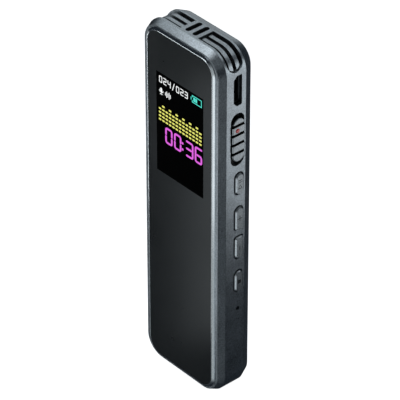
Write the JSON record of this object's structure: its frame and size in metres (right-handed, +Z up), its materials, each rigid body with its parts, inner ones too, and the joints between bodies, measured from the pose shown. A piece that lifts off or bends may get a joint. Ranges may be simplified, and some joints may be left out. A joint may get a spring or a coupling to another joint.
{
  "type": "handheld voice recorder",
  "caption": "Slim upright voice recorder with a full-height cover glass, a colour display, corner microphone windows, side keys, a record slide and a Micro-USB socket.",
  "frame": {"origin": "middle of the flat base on which the recorder stands upright", "axes": "+Z up along the body, -Y out of the glass, +X towards the side with the controls"},
  "size_m": [0.03, 0.0116, 0.1045],
  "materials": {
    "cover_glass": "black printed, gloss",
    "case_metal": "fine bead-blasted, anodised grey",
    "polished_metal": "polished bevel",
    "key_metal": "fine bead-blasted, anodised grey",
    "slide_metal": "fine bead-blasted, anodised grey, darker in the grooves",
    "black_plastic": "matt black",
    "white_plastic": "off-white",
    "black_rubber": "matt",
    "mesh_black": "fine woven dust mesh",
    "red_mark": "gloss red",
    "steel": "satin",
    "board": "green solder mask",
    "chip": "moulded black",
    "flex": "amber film",
    "display_black": "black display",
    "speaker_body": "black frame and cone",
    "battery_foil": "dull foil",
    "wire_red": "insulated wire",
    "key_print": "dark printed icons",
    "lit_white": "lit display pixels",
    "lit_yellow": "lit display pixels",
    "lit_cyan": "lit display pixels",
    "lit_magenta": "lit display pixels"
  },
  "bodies": {
    "recorder": {"front_glass": "cover_glass", "glass_adhesive": "black_rubber", "front_bezel": "polished_metal", "middle_frame": "case_metal", "rear_cover": "case_metal", "inner_carrier": "black_plastic", "main_board": "board", "board_screws": "steel", "processor_chip": "chip", "memory_chip": "chip", "audio_chip": "chip", "display_connector": "white_plastic", "battery_connector": "white_plastic", "display_panel": "display_black", "display_foam": "black_rubber", "display_flex": "flex", "button_gasket": "black_rubber", "tact_switches": "steel", "reset_switch": "steel", "slider_plate": "black_plastic", "slide_switch": "steel", "usb_shell": "steel", "usb_tongue": "black_plastic", "left_mic_bars": "case_metal", "right_mic_bars": "case_metal", "left_mic_seat": "black_plastic", "right_mic_seat": "black_plastic", "left_mic_mesh": "mesh_black", "right_mic_mesh": "mesh_black", "left_mic_boot": "black_rubber", "right_mic_boot": "black_rubber", "left_microphone": "steel", "right_microphone": "steel", "strap_well": "black_plastic", "speaker": "speaker_body", "speaker_gasket": "black_rubber", "speaker_mesh": "mesh_black", "battery_cell": "battery_foil", "battery_tape": "white_plastic", "battery_leads": "wire_red", "speaker_leads": "wire_red"},
    "play_key": {"play_button": "key_metal", "play_plunger": "black_plastic"},
    "volume_up_key": {"volume_up_button": "key_metal", "volume_up_plunger": "black_plastic"},
    "volume_down_key": {"volume_down_button": "key_metal", "volume_down_plunger": "black_plastic"},
    "stop_key": {"stop_button": "key_metal", "stop_plunger": "black_plastic"},
    "record_slide": {"record_slider": "slide_metal", "record_mark": "red_mark", "switch_actuator": "black_plastic"}
  },
  "joints": [
    {"name": "play_press", "type": "slide", "parent": "recorder", "child": "play_key", "axis": [-1, 0, 0], "range_m": [0, 0.00035], "stiffness_N_per_m": 250, "springref_m": -0.0004},
    {"name": "volume_up_press", "type": "slide", "parent": "recorder", "child": "volume_up_key", "axis": [-1, 0, 0], "range_m": [0, 0.00035], "stiffness_N_per_m": 250, "springref_m": -0.0004},
    {"name": "volume_down_press", "type": "slide", "parent": "recorder", "child": "volume_down_key", "axis": [-1, 0, 0], "range_m": [0, 0.00035], "stiffness_N_per_m": 250, "springref_m": -0.0004},
    {"name": "stop_press", "type": "slide", "parent": "recorder", "child": "stop_key", "axis": [-1, 0, 0], "range_m": [0, 0.00035], "stiffness_N_per_m": 250, "springref_m": -0.0004},
    {"name": "record_switch", "type": "slide", "parent": "recorder", "child": "record_slide", "axis": [0, 0, 1], "range_m": [-0.0014, 0.0012]}
  ]
}
